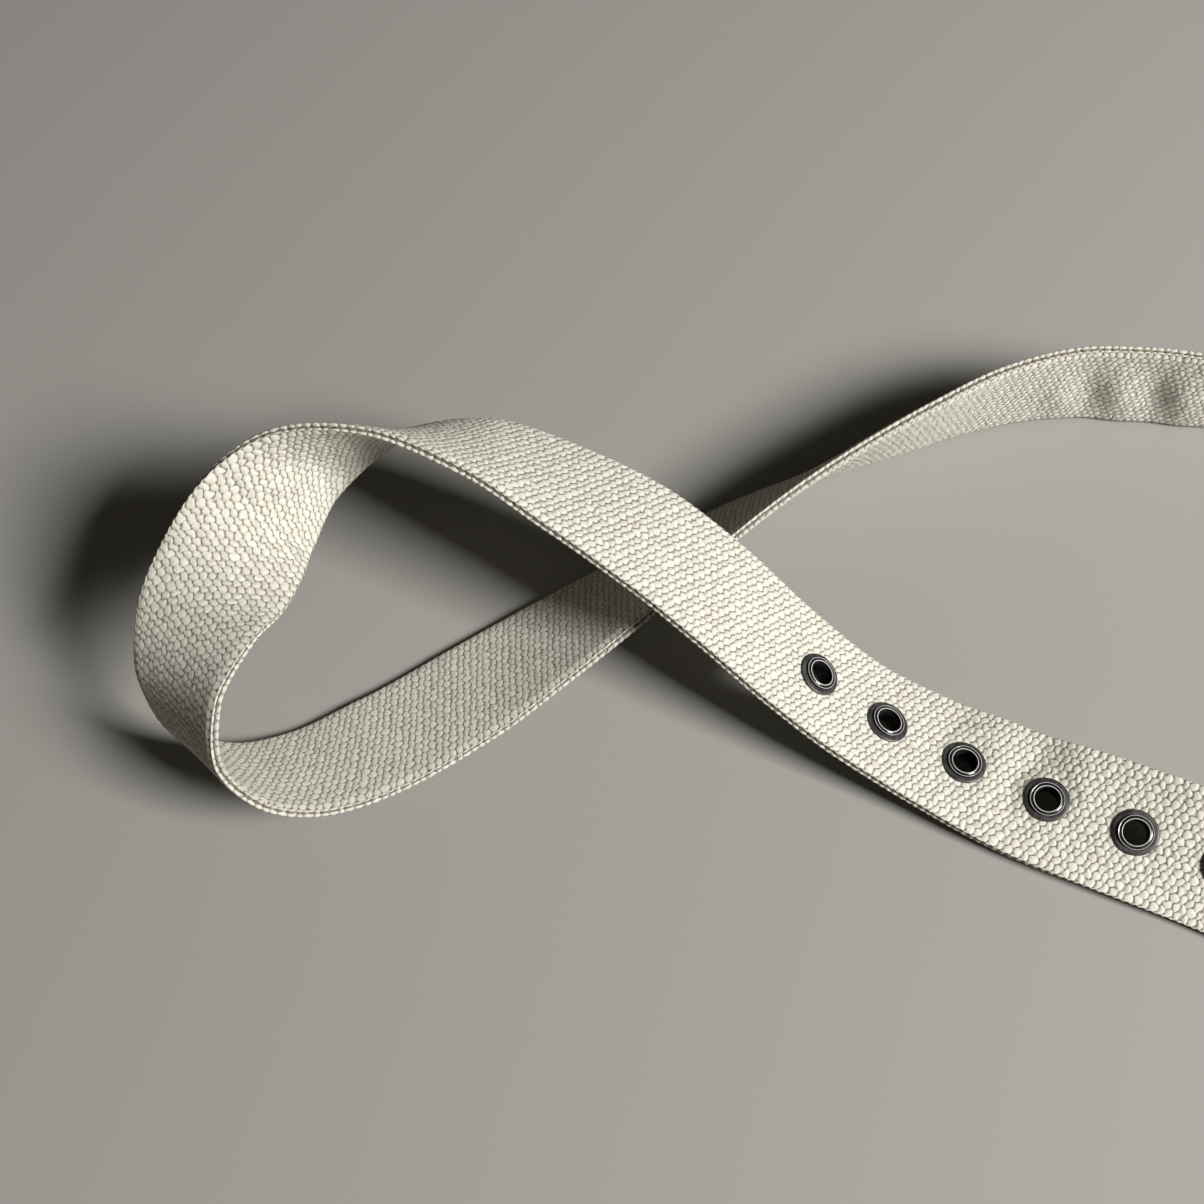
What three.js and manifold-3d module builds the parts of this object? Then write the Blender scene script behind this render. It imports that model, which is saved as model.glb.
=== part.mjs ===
// Canvas eyelet belt with a single-prong buckle, lying in an open figure of eight.
// Millimetres, +Z up. The belt lies on the plane z = 0, centred on the origin.
import * as THREE from 'three';
import { mergeVertices } from 'three/addons/utils/BufferGeometryUtils.js';
import Module from 'manifold-3d';

const wasm = await Module();
wasm.setup();

// ---------- driving dimensions ----------
const strapWidth = 37.8;          // one woven ply, edge to edge
const plyThickness = 1.4;
const plyGap = 0.3;               // the slit that is left between the two plies
const seamRadius = 0.35;          // sewing thread along each edge
const seamGroove = 0.7;           // chamfer of the plies beside the thread
const touchGap = 0.3;             // space kept where two pieces meet

const eyeletCount = 7;
const eyeletPitch = 25.4;
const firstEyeletFromTip = 75;
const boreRadius = 3.7;
const barrelWall = 0.5;
const flangeRadius = 6.5;
const flangeThickness = 0.6;
const lipReach = 0.75;            // how far the rolled lip covers the washer
const lipHeight = 0.9;
const seatGap = 0.45;             // under flange and washer, where the strap is curved

const tipLength = 13;             // metal end on the free end
const tipWall = 1;

const barRadius = 2;
const barClearance = 0.35;
const frameWire = 2.2;            // radius of the three outer sides of the buckle
const frameReach = 26;            // from the bar to the front side, centre to centre
const frameSideGap = 0.8;         // beside the strap, inside the buckle
const frameCorner = 4;            // corner radius of the wire's centre line

const prongWidth = 3.6;
const prongThickness = 2.6;
const prongEyeWall = 1.7;
const prongOverhang = 3;          // past the front side of the buckle
const prongShoulder = 6.5;        // from the bar to where the shank starts to rise
const prongKneeShare = 0.6;       // of the reach, where the shank is level again
const prongDip = 0.8;             // height of the prong's point over the frame's middle
const slotWidth = 9;              // slot in the folded ply, for the prong
const slotLength = 11;            // from the bar back into the strap

const tabLength = 42;             // turned-back end of the outer ply
const innerPlyStop = 5;           // inner ply ends this far before the bar
const foldSettle = 12;            // length in which the tab comes up against the inner ply

const rivetPlaces = [18, 32];     // from the bar
const rivetRadius = 1.6;
const rivetHeadRadius = 4;
const rivetHeadHeight = 1.1;
const rivetCrownRadius = 2.8;     // flat middle of the rounded head
const rivetRimHeight = 0.66;

const keeperLength = 12;
const keeperWall = 1.5;
const keeperRoom = 8.4;           // inside height: two layers of strap and air
const keeperSideRoom = 0.8;
const keeperFromBar = 60;

// The strap's centre line, from the free end to the buckle bar, and the direction
// across it, from edge B to edge A, at each point.
const route = [
  [[266, -127, 2.6], [0.40, 0.92, 0.00]],
  [[245, -118, 2.6], [0.40, 0.92, 0.00]],
  [[224, -109, 2.6], [0.40, 0.92, 0.00]],
  [[199, -98, 6], [0.39, 0.90, 0.20]],
  [[174, -87, 9.5], [0.36, 0.84, 0.40]],
  [[149, -76, 8], [0.38, 0.88, 0.28]],
  [[124, -65, 5.5], [0.41, 0.91, 0.08]],
  [[100, -53, 5.5], [0.42, 0.89, -0.16]],
  [[76, -41, 11], [0.39, 0.87, -0.28]],
  [[54, -28, 22.5], [0.39, 0.88, -0.26]],
  [[34, -15, 35.5], [0.40, 0.88, -0.24]],
  [[13, -2, 46], [0.38, 0.89, -0.26]],
  [[-10, 10, 53], [0.29, 0.87, -0.39]],
  [[-35, 21, 58], [0.18, 0.79, -0.59]],
  [[-61, 25, 57], [0.14, 0.51, -0.85]],
  [[-84, 18, 52], [0.32, 0.06, -0.95]],
  [[-96, 5, 49], [0.60, -0.24, -0.76]],
  [[-104, -13, 48], [0.88, -0.36, -0.30]],
  [[-111, -30, 48], [0.91, -0.35, 0.22]],
  [[-115, -47, 42], [0.74, -0.41, 0.54]],
  [[-112, -59, 30], [0.55, -0.53, 0.64]],
  [[-100, -63, 18], [0.45, -0.67, 0.58]],
  [[-85, -60, 11], [0.43, -0.77, 0.47]],
  [[-64, -50, 8.5], [0.46, -0.81, 0.36]],
  [[-40, -35, 8.5], [0.48, -0.80, 0.37]],
  [[-18, -20, 10.5], [0.46, -0.75, 0.48]],
  [[4, -5, 13], [0.40, -0.68, 0.61]],
  [[26, 11, 15.5], [0.31, -0.58, 0.75]],
  [[49, 26, 17.5], [0.23, -0.47, 0.85]],
  [[73, 39, 18.5], [0.15, -0.33, 0.93]],
  [[98, 51, 19], [0.06, -0.20, 0.98]],
  [[123, 62, 19.5], [0.00, -0.10, 0.99]],
  [[149, 68, 20], [-0.05, -0.04, 1.00]],
  [[176, 67, 20], [-0.06, -0.02, 1.00]],
  [[203, 63, 20], [-0.04, -0.10, 0.99]],
  [[229, 61, 19], [0.00, -0.30, 0.95]],
  [[255, 61, 15.5], [0.00, -0.62, 0.78]],
  [[280, 61, 10], [0.00, -0.88, 0.47]],
  [[302, 61, 5.5], [0.00, -0.99, 0.13]],
];
const routeWidth = 37.8;          // strap width that the route's heights are given for
const liftFrom = 20;              // the branch that passes over the other starts above this height
const liftWhole = 26;             // and is clear of it from this height on
const crossingRise = 1.5;         // rise of that branch for each millimetre of added width
const buckleStretch = 78;         // straight, flat stretch in front of the bar
const barAt = [400, 61];          // the bar's place on the ground plan
const stretchSlope = 0.031;       // rise of the straight stretch towards the bar

// ---------- fineness ----------
const stationStep = 8;            // along the strap
const foldSteps = 10;             // half turn round the bar
const seamSides = 5;
const boreSegments = 24;
const latheSegments = 20;
const wireSides = 12;
const cornerSteps = 4;
const prongSegments = 10;
const fineSteps = 1500;           // for measuring the strap's length

// ---------- values that follow ----------
const outerFace = plyGap / 2 + plyThickness;
const barrelRadius = boreRadius + barrelWall;
const foldRadius = barRadius + barClearance + plyThickness / 2;
const barBelowCentre = plyGap / 2 + plyThickness / 2 - foldRadius;
const cutterReach = 2 * (outerFace + plyThickness);   // through both plies and the tab
const strapCentreAtBar = foldRadius + plyThickness / 2 - barBelowCentre;
const stretchAngle = Math.atan(stretchSlope);

// ---------- materials ----------
function finish(colour, roughness, metalness) {
  return new THREE.MeshStandardMaterial({ color: colour, roughness, metalness });
}
const canvasFinish = () => finish(0xd9d2bf, 0.95, 0);
const threadFinish = () => finish(0x6f675a, 0.9, 0);
const blackMetalFinish = () => finish(0x17171a, 0.3, 0.9);

const belt = new THREE.Group();

function addPiece(parent, name, geometry, material) {
  const piece = new THREE.Mesh(geometry, material);
  piece.name = name;
  parent.add(piece);
  return piece;
}

// ---------- solids ----------
function toSolid(geometry) {
  const bare = geometry.clone();
  bare.deleteAttribute('normal');
  bare.deleteAttribute('uv');
  const merged = mergeVertices(bare, 1e-5);
  const mesh = new wasm.Mesh({
    numProp: 3,
    vertProperties: new Float32Array(merged.attributes.position.array),
    triVerts: new Uint32Array(merged.index.array),
  });
  return new wasm.Manifold(mesh);
}

function toGeometry(solid) {
  const mesh = solid.getMesh();
  const geometry = new THREE.BufferGeometry();
  geometry.setAttribute('position', new THREE.BufferAttribute(new Float32Array(mesh.vertProperties), 3));
  geometry.setIndex(new THREE.BufferAttribute(new Uint32Array(mesh.triVerts), 1));
  geometry.computeVertexNormals();
  return geometry;
}

function cutAll(geometry, cutters) {
  let solid = toSolid(geometry);
  for (const cutter of cutters) {
    solid = solid.subtract(toSolid(cutter));
  }
  return toGeometry(solid);
}

// A closed skin over rings of points, all with the same number of points. Rings that run
// the other way round take flipped faces, so that facing pieces share their diagonals.
function loft(rings, { closed = false, flipped = false } = {}) {
  const count = rings[0].length;
  const positions = rings.flat().flatMap((point) => [point.x, point.y, point.z]);
  const faces = [];
  const spans = closed ? rings.length : rings.length - 1;
  for (let i = 0; i < spans; i += 1) {
    const here = i * count;
    const next = ((i + 1) % rings.length) * count;
    for (let j = 0; j < count; j += 1) {
      const k = (j + 1) % count;
      faces.push(here + j, here + k, next + k);
      faces.push(here + j, next + k, next + j);
    }
  }
  if (!closed) {
    const last = (rings.length - 1) * count;
    for (let j = 1; j < count - 1; j += 1) {
      faces.push(0, j + 1, j);
      faces.push(last, last + j, last + j + 1);
    }
  }
  if (flipped) {
    faces.reverse();
  }
  const geometry = new THREE.BufferGeometry();
  geometry.setAttribute('position', new THREE.Float32BufferAttribute(positions, 3));
  geometry.setIndex(faces);
  return geometry;
}

// ---------- the strap's course ----------
// A station holds its centre, the direction along, across (B to A) and out of the outer face.
function station(centre, along, across) {
  const out = new THREE.Vector3().crossVectors(across, along).normalize();
  const side = new THREE.Vector3().crossVectors(along, out).normalize();
  return { centre, along, across: side, out };
}

const stretchDirection = new THREE.Vector3(Math.cos(stretchAngle), 0, Math.sin(stretchAngle));
const stretchAcross = new THREE.Vector3(0, -1, 0);
const barCentreLine = new THREE.Vector3(barAt[0], barAt[1], strapCentreAtBar);
const stretchStart = barCentreLine.clone().addScaledVector(stretchDirection, -buckleStretch);
const leadIn = stretchStart.clone().addScaledVector(stretchDirection, stationStep);

// A wider strap stands higher on its edge, and the branch that passes over it rises too.
function raised([x, y, height], [, , leaning]) {
  const standing = Math.abs(leaning) / 2;
  const passingOver = THREE.MathUtils.clamp((height - liftFrom) / (liftWhole - liftFrom), 0, 1);
  const rise = (strapWidth - routeWidth) * Math.max(standing, crossingRise * passingOver);
  return new THREE.Vector3(x, y, height + rise);
}

const centreCurve = new THREE.CatmullRomCurve3(
  [...route.map(([at, across]) => raised(at, across)), stretchStart, leadIn],
  false,
  'centripetal',
);
const acrossMarks = [
  ...route.map(([, across]) => new THREE.Vector3(...across)),
  stretchAcross,
  stretchAcross,
];

// Arc length is measured along the centre line.
const lastCentre = route.length / (route.length + 1);
const fine = [];
for (let i = 0; i <= fineSteps; i += 1) {
  const u = (i / fineSteps) * lastCentre;
  const centre = centreCurve.getPoint(u);
  const run = i ? fine[i - 1].run + centre.distanceTo(fine[i - 1].centre) : 0;
  fine.push({ u, centre, run });
}
const curvedLength = fine[fineSteps].run;
const strapLength = curvedLength + buckleStretch;

// The across directions are given at the same points as the centres, and share their parameter.
function acrossAt(u) {
  const last = acrossMarks.length - 1;
  const place = u * last;
  const index = Math.min(Math.floor(place), last - 1);
  const marks = [index - 1, index, index + 1, index + 2]
    .map((i) => acrossMarks[THREE.MathUtils.clamp(i, 0, last)]);
  return new THREE.CatmullRomCurve3(marks).getPoint((1 + place - index) / 3).normalize();
}

// Station at an arc length from the free end.
function stationAt(run) {
  if (run >= curvedLength) {
    const centre = stretchStart.clone().addScaledVector(stretchDirection, run - curvedLength);
    return station(centre, stretchDirection.clone(), stretchAcross.clone());
  }
  let high = fine.findIndex((entry) => entry.run >= run);
  high = Math.max(high, 1);
  const low = fine[high - 1];
  const share = (run - low.run) / (fine[high].run - low.run);
  const u = THREE.MathUtils.lerp(low.u, fine[high].u, share);
  return station(centreCurve.getPoint(u), centreCurve.getTangent(u), acrossAt(u));
}

function stationsBetween(start, end) {
  const count = Math.ceil((end - start) / stationStep);
  return Array.from({ length: count + 1 }, (_, i) => stationAt(start + ((end - start) * i) / count));
}

// A point of a station, v across and d out of the outer face.
function pointAt(place, v, d) {
  return place.centre.clone().addScaledVector(place.across, v).addScaledVector(place.out, d);
}

// ---------- plies ----------
// Section of a ply: flat outside, with its inner corners cut for the seam thread.
// The outer ply faces out (1), the inner ply in (-1).
function plySkin(places, facing) {
  const half = strapWidth / 2;
  const near = plyGap / 2;
  const far = near + plyThickness;
  const section = [
    [-half, far],
    [0, far],
    [half, far],
    [half, near + seamGroove],
    [half - seamGroove, near],
    [0, near],
    [-half + seamGroove, near],
    [-half, near + seamGroove],
  ];
  const rings = places.map((place) => section.map(([v, d]) => pointAt(place, v, d * facing)));
  return loft(rings, { flipped: facing < 0 });
}

// The outer ply goes on round the bar and comes back under the strap as the tab.
function foldStations() {
  const barCentre = pointAt(stationAt(strapLength), 0, barBelowCentre);
  const shift = -(plyGap + plyThickness) / 2;
  const turned = [];
  for (let i = 1; i <= foldSteps; i += 1) {
    const angle = (Math.PI * i) / foldSteps;
    const out = new THREE.Vector3(Math.sin(angle), 0, Math.cos(angle));
    out.applyAxisAngle(new THREE.Vector3(0, 1, 0), -stretchAngle);
    const along = new THREE.Vector3().crossVectors(out, stretchAcross).normalize();
    const centre = barCentre.clone().addScaledVector(out, foldRadius + shift);
    turned.push({ centre, along, across: stretchAcross.clone(), out });
  }
  const last = turned[turned.length - 1];
  const tabRise = 2 * foldRadius - (plyGap + plyThickness) / 2 - outerFace - touchGap - plyThickness / 2;
  const marks = [
    [foldSettle / 2, tabRise / 2],
    [foldSettle, tabRise],
    [tabLength, tabRise],
  ];
  const tab = marks.map(([back, rise]) => ({
    ...last,
    centre: last.centre.clone().addScaledVector(stretchDirection, -back).addScaledVector(last.out, -rise),
  }));
  return [...turned, ...tab];
}

function barrelCutter(place, radius) {
  const cutter = new THREE.CylinderGeometry(radius, radius, 2 * cutterReach, boreSegments);
  const turn = new THREE.Quaternion().setFromUnitVectors(new THREE.Vector3(0, 1, 0), place.out);
  cutter.applyQuaternion(turn);
  cutter.translate(place.centre.x, place.centre.y, place.centre.z);
  return cutter;
}

function slotCutter() {
  const length = slotLength + 2 * foldRadius;
  const cutter = new THREE.BoxGeometry(length, slotWidth, 2 * (barClearance + 4 * foldRadius));
  cutter.translate(foldRadius * 2 - length / 2, 0, 0);
  cutter.rotateY(-stretchAngle);
  cutter.translate(barCentreLine.x, barCentreLine.y, barCentreLine.z);
  return cutter;
}

const eyeletPlaces = Array.from(
  { length: eyeletCount },
  (_, i) => stationAt(firstEyeletFromTip + eyeletPitch * i),
);
const rivetStations = rivetPlaces.map((back) => stationAt(strapLength - back));
const eyeletCutters = eyeletPlaces.map((place) => barrelCutter(place, barrelRadius + touchGap));
const rivetCutters = rivetStations.map((place) => barrelCutter(place, rivetRadius + touchGap));

const innerStations = stationsBetween(0, strapLength - innerPlyStop);
const outerStations = [...innerStations, stationAt(strapLength), ...foldStations()];
addPiece(
  belt,
  'outer_ply',
  cutAll(plySkin(outerStations, 1), [...eyeletCutters, ...rivetCutters, slotCutter()]),
  canvasFinish(),
);
addPiece(
  belt,
  'inner_ply',
  cutAll(plySkin(innerStations, -1), [...eyeletCutters, ...rivetCutters, slotCutter()]),
  canvasFinish(),
);

// ---------- seam threads ----------
function seamRing(place, side) {
  return Array.from({ length: seamSides }, (_, i) => {
    const angle = (-2 * Math.PI * i) / seamSides;
    const v = (side * strapWidth) / 2 + seamRadius * Math.cos(angle);
    return pointAt(place, v, seamRadius * Math.sin(angle));
  });
}
for (const [name, side] of [['seam_thread_a', 1], ['seam_thread_b', -1]]) {
  addPiece(belt, name, loft(innerStations.map((place) => seamRing(place, side))), threadFinish());
}

// ---------- eyelets ----------
function placeOn(mesh, place) {
  const basis = new THREE.Matrix4().makeBasis(place.along, place.out, place.across);
  mesh.quaternion.setFromRotationMatrix(basis);
  mesh.position.copy(place.centre);
}

function latheLoop(profile) {
  const points = [...profile, profile[0]].map(([r, h]) => new THREE.Vector2(r, h));
  return new THREE.LatheGeometry(points, latheSegments);
}

const washerBottom = outerFace + seatGap;
const washerTop = washerBottom + flangeThickness;
const lipBottom = washerTop + touchGap;
const lipRadius = barrelRadius + lipReach;
const flangeTop = -(outerFace + seatGap);

function eyeletGeometry() {
  return latheLoop([
    [boreRadius, flangeTop - flangeThickness],
    [flangeRadius, flangeTop - flangeThickness],
    [flangeRadius, flangeTop],
    [barrelRadius, flangeTop],
    [barrelRadius, lipBottom],
    [lipRadius, lipBottom],
    [lipRadius, lipBottom + lipHeight / 2],
    [barrelRadius, lipBottom + lipHeight],
    [boreRadius, lipBottom + lipHeight / 2],
  ]);
}

function washerGeometry() {
  return latheLoop([
    [barrelRadius + touchGap, washerBottom],
    [flangeRadius, washerBottom],
    [flangeRadius, washerTop],
    [barrelRadius + touchGap, washerTop],
  ]);
}

eyeletPlaces.forEach((place, i) => {
  placeOn(addPiece(belt, `eyelet_${i + 1}`, eyeletGeometry(), blackMetalFinish()), place);
  placeOn(addPiece(belt, `washer_${i + 1}`, washerGeometry(), blackMetalFinish()), place);
});

// ---------- metal tip ----------
function tipGeometry() {
  const room = {
    x: tipLength,
    y: 2 * (outerFace + touchGap),
    z: strapWidth + 2 * (seamRadius + touchGap),
  };
  const shell = new THREE.BoxGeometry(room.x, room.y + 2 * tipWall, room.z + 2 * tipWall);
  const pocket = new THREE.BoxGeometry(room.x, room.y, room.z);
  pocket.translate(tipWall, 0, 0);
  return cutAll(shell, [pocket]);
}
const tipPlace = stationAt(0);
const tipCap = addPiece(belt, 'tip_cap', tipGeometry(), blackMetalFinish());
placeOn(tipCap, tipPlace);
tipCap.position.addScaledVector(tipPlace.along, tipLength / 2 - tipWall - touchGap);

// ---------- buckle end: a group in line with the straight stretch, centred on the bar ----------
const buckleEnd = new THREE.Group();
buckleEnd.position.copy(pointAt(stationAt(strapLength), 0, barBelowCentre));
buckleEnd.rotation.y = -stretchAngle;
belt.add(buckleEnd);

// Buckle frame: one closed wire, thinner at the bar than on the other three sides.
function framePath() {
  const halfWidth = strapWidth / 2 + seamRadius + frameSideGap + frameWire;
  const corners = [
    [0, -halfWidth, -90],
    [frameReach, -halfWidth, 0],
    [frameReach, halfWidth, 90],
    [0, halfWidth, 180],
  ];
  const points = [];
  corners.forEach(([x, y, start], index) => {
    const cornerRadius = index === 0 || index === 3 ? frameWire : frameCorner;
    const inX = x === 0 ? cornerRadius : x - cornerRadius;
    const inY = y - Math.sign(y) * cornerRadius;
    for (let i = 0; i <= cornerSteps; i += 1) {
      const angle = THREE.MathUtils.degToRad(start - 90 + (90 * i) / cornerSteps);
      const out = new THREE.Vector3(Math.cos(angle), Math.sin(angle), 0);
      points.push({ at: new THREE.Vector3(inX, inY, 0).addScaledVector(out, cornerRadius), out });
    }
  });
  return points;
}

function frameGeometry() {
  const rings = framePath().map(({ at, out }) => Array.from({ length: wireSides }, (_, i) => {
    const angle = (-2 * Math.PI * i) / wireSides;
    const onBar = at.x < barRadius / 2;
    const radius = onBar ? barRadius : frameWire;
    return at.clone()
      .addScaledVector(out, radius * Math.cos(angle))
      .add(new THREE.Vector3(0, 0, radius * Math.sin(angle)));
  }));
  return loft(rings, { closed: true });
}

// At rest the front side lies on the floor, a little lower than the bar.
const barHeight = strapCentreAtBar + barBelowCentre * Math.cos(stretchAngle);
const frameTilt = Math.asin((barHeight - frameWire) / frameReach);
const frameGroup = new THREE.Group();
frameGroup.rotation.y = frameTilt + stretchAngle;
buckleEnd.add(frameGroup);
addPiece(frameGroup, 'buckle_frame', frameGeometry(), blackMetalFinish());

// Prong: an eye round the bar and a shank that rests on the front side and dips past it.
function prongGeometry() {
  const eyeInner = barRadius + barClearance;
  const eyeOuter = eyeInner + prongEyeWall;
  const restHeight = frameWire + touchGap;
  const restTop = restHeight + prongThickness;
  const frontX = frameReach + frameWire + touchGap;
  const tipX = frameReach + frameWire + prongOverhang;
  const kneeX = frameReach * prongKneeShare;
  const outline = new THREE.Shape();
  outline.moveTo(0, eyeOuter);
  outline.lineTo(prongShoulder, eyeOuter);
  outline.lineTo(kneeX, restTop);
  outline.lineTo(frameReach, restTop);
  outline.quadraticCurveTo(tipX, restTop, tipX, prongDip);
  outline.lineTo(frontX, prongDip);
  outline.quadraticCurveTo(frontX, restHeight, frameReach, restHeight);
  outline.lineTo(kneeX, restHeight);
  outline.lineTo(eyeOuter, eyeOuter - prongThickness);
  outline.absarc(0, 0, eyeOuter, 0, Math.PI / 2 - 2 * Math.PI, true);
  const hole = new THREE.Path();
  hole.absarc(0, 0, eyeInner, 0, 2 * Math.PI, false);
  outline.holes.push(hole);
  const body = new THREE.ExtrudeGeometry(outline, {
    depth: prongWidth,
    bevelEnabled: false,
    curveSegments: prongSegments,
  });
  body.translate(0, 0, -prongWidth / 2);
  body.rotateX(Math.PI / 2);
  return body;
}
addPiece(frameGroup, 'buckle_prong', prongGeometry(), blackMetalFinish());

// Rivets that close the fold, in the frame of the straight stretch.
const tabUnderside = -(outerFace + touchGap + plyThickness) - touchGap;
const capBottom = outerFace + touchGap;
const capInside = capBottom + 2 * touchGap;
const socketRadius = rivetRadius + touchGap;
rivetStations.forEach((place, i) => {
  const post = latheLoop([
    [0, tabUnderside - rivetHeadHeight],
    [rivetCrownRadius, tabUnderside - rivetHeadHeight],
    [rivetHeadRadius, tabUnderside - rivetRimHeight],
    [rivetHeadRadius, tabUnderside],
    [rivetRadius, tabUnderside],
    [rivetRadius, capBottom + touchGap],
    [0, capBottom + touchGap],
  ]);
  const cap = latheLoop([
    [0, capInside],
    [socketRadius, capInside],
    [socketRadius, capBottom],
    [rivetHeadRadius, capBottom],
    [rivetHeadRadius, capBottom + rivetRimHeight],
    [rivetCrownRadius, capInside + rivetRimHeight],
    [0, capInside + rivetRimHeight],
  ]);
  placeOn(addPiece(belt, `tab_rivet_${i + 1}`, post, blackMetalFinish()), place);
  placeOn(addPiece(belt, `rivet_cap_${i + 1}`, cap, blackMetalFinish()), place);
});

// Keeper: a stiff webbing loop round the strap, with room for the free end above it.
function keeperGeometry() {
  const innerWidth = strapWidth + 2 * seamRadius + 2 * keeperSideRoom;
  const outline = new THREE.Shape();
  const w = innerWidth / 2 + keeperWall;
  const h = keeperRoom + 2 * keeperWall;
  outline.moveTo(-w, 0);
  outline.lineTo(w, 0);
  outline.lineTo(w, h);
  outline.lineTo(-w, h);
  outline.closePath();
  const room = new THREE.Path();
  room.moveTo(-w + keeperWall, keeperWall);
  room.lineTo(-w + keeperWall, h - keeperWall);
  room.lineTo(w - keeperWall, h - keeperWall);
  room.lineTo(w - keeperWall, keeperWall);
  room.closePath();
  outline.holes.push(room);
  const loop = new THREE.ExtrudeGeometry(outline, { depth: keeperLength, bevelEnabled: false });
  loop.translate(0, -keeperWall - outerFace - touchGap, -keeperLength / 2);
  return loop;
}
const keeperPlace = stationAt(strapLength - keeperFromBar);
const keeper = addPiece(belt, 'keeper_loop', keeperGeometry(), canvasFinish());
keeper.quaternion.setFromRotationMatrix(
  new THREE.Matrix4().makeBasis(keeperPlace.across, keeperPlace.out, keeperPlace.along.clone().negate()),
);
keeper.position.copy(keeperPlace.centre);

// ---------- the belt stands on z = 0, with its box centred on the origin ----------
belt.updateMatrixWorld(true);
const box = new THREE.Box3().setFromObject(belt, true);
const middle = box.getCenter(new THREE.Vector3());
belt.position.set(-middle.x, -middle.y, -box.min.z);

export default belt;
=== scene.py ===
import bmesh
import bpy
import math
import numpy as np
from mathutils import Matrix, Vector


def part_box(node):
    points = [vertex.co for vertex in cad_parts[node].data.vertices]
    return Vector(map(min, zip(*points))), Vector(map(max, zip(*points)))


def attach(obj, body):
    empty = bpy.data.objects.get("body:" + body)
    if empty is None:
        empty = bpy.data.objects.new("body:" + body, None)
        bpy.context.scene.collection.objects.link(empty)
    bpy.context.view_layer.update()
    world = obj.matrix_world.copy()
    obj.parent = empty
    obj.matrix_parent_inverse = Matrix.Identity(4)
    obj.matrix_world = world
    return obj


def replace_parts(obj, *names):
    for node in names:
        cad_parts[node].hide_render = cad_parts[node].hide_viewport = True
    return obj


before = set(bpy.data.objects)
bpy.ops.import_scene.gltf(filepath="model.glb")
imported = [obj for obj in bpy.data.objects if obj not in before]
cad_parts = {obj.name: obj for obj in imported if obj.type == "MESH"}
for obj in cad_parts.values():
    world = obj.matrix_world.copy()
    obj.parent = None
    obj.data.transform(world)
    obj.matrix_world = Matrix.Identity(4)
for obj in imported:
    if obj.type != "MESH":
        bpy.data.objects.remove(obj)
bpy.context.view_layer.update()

# the strap's course
course = {
    "ply": 0.0014,             # thickness of one woven ply
    "slit": 0.0003,            # between the two plies
    "width": 0.0378,
    "buckleStretch": 0.078,    # straight stretch in front of the bar
    "barAt": (0.400, 0.061),
    "slope": 0.031,            # rise of that stretch
    "leadIn": 0.008,
    "foldRadius": 0.00305,     # middle of the ply that goes round the bar
    "tab": 0.042,
    "tabSettle": 0.012,
    "tabGap": 0.0003,
    "tipFromEnd": 0.0052,      # middle of the metal tip, from the free end
    "fineSteps": 1500,
    "tangentStep": 0.002,      # to either side of a place, for the strap's direction there
}

# centre of the strap and the direction across it, from the free end to the buckle
route = [
    ((0.266, -0.127, 0.0026), (0.40, 0.92, 0.00)),
    ((0.245, -0.118, 0.0026), (0.40, 0.92, 0.00)),
    ((0.224, -0.109, 0.0026), (0.40, 0.92, 0.00)),
    ((0.199, -0.098, 0.006), (0.39, 0.90, 0.20)),
    ((0.174, -0.087, 0.0095), (0.36, 0.84, 0.40)),
    ((0.149, -0.076, 0.008), (0.38, 0.88, 0.28)),
    ((0.124, -0.065, 0.0055), (0.41, 0.91, 0.08)),
    ((0.100, -0.053, 0.0055), (0.42, 0.89, -0.16)),
    ((0.076, -0.041, 0.011), (0.39, 0.87, -0.28)),
    ((0.054, -0.028, 0.0225), (0.39, 0.88, -0.26)),
    ((0.034, -0.015, 0.0355), (0.40, 0.88, -0.24)),
    ((0.013, -0.002, 0.046), (0.38, 0.89, -0.26)),
    ((-0.010, 0.010, 0.053), (0.29, 0.87, -0.39)),
    ((-0.035, 0.021, 0.058), (0.18, 0.79, -0.59)),
    ((-0.061, 0.025, 0.057), (0.14, 0.51, -0.85)),
    ((-0.084, 0.018, 0.052), (0.32, 0.06, -0.95)),
    ((-0.096, 0.005, 0.049), (0.60, -0.24, -0.76)),
    ((-0.104, -0.013, 0.048), (0.88, -0.36, -0.30)),
    ((-0.111, -0.030, 0.048), (0.91, -0.35, 0.22)),
    ((-0.115, -0.047, 0.042), (0.74, -0.41, 0.54)),
    ((-0.112, -0.059, 0.030), (0.55, -0.53, 0.64)),
    ((-0.100, -0.063, 0.018), (0.45, -0.67, 0.58)),
    ((-0.085, -0.060, 0.011), (0.43, -0.77, 0.47)),
    ((-0.064, -0.050, 0.0085), (0.46, -0.81, 0.36)),
    ((-0.040, -0.035, 0.0085), (0.48, -0.80, 0.37)),
    ((-0.018, -0.020, 0.0105), (0.46, -0.75, 0.48)),
    ((0.004, -0.005, 0.013), (0.40, -0.68, 0.61)),
    ((0.026, 0.011, 0.0155), (0.31, -0.58, 0.75)),
    ((0.049, 0.026, 0.0175), (0.23, -0.47, 0.85)),
    ((0.073, 0.039, 0.0185), (0.15, -0.33, 0.93)),
    ((0.098, 0.051, 0.019), (0.06, -0.20, 0.98)),
    ((0.123, 0.062, 0.0195), (0.00, -0.10, 0.99)),
    ((0.149, 0.068, 0.020), (-0.05, -0.04, 1.00)),
    ((0.176, 0.067, 0.020), (-0.06, -0.02, 1.00)),
    ((0.203, 0.063, 0.020), (-0.04, -0.10, 0.99)),
    ((0.229, 0.061, 0.019), (0.00, -0.30, 0.95)),
    ((0.255, 0.061, 0.0155), (0.00, -0.62, 0.78)),
    ((0.280, 0.061, 0.010), (0.00, -0.88, 0.47)),
    ((0.302, 0.061, 0.0055), (0.00, -0.99, 0.13)),
]


def unit(rows):
    return rows / np.linalg.norm(rows, axis=1, keepdims=True)


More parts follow.
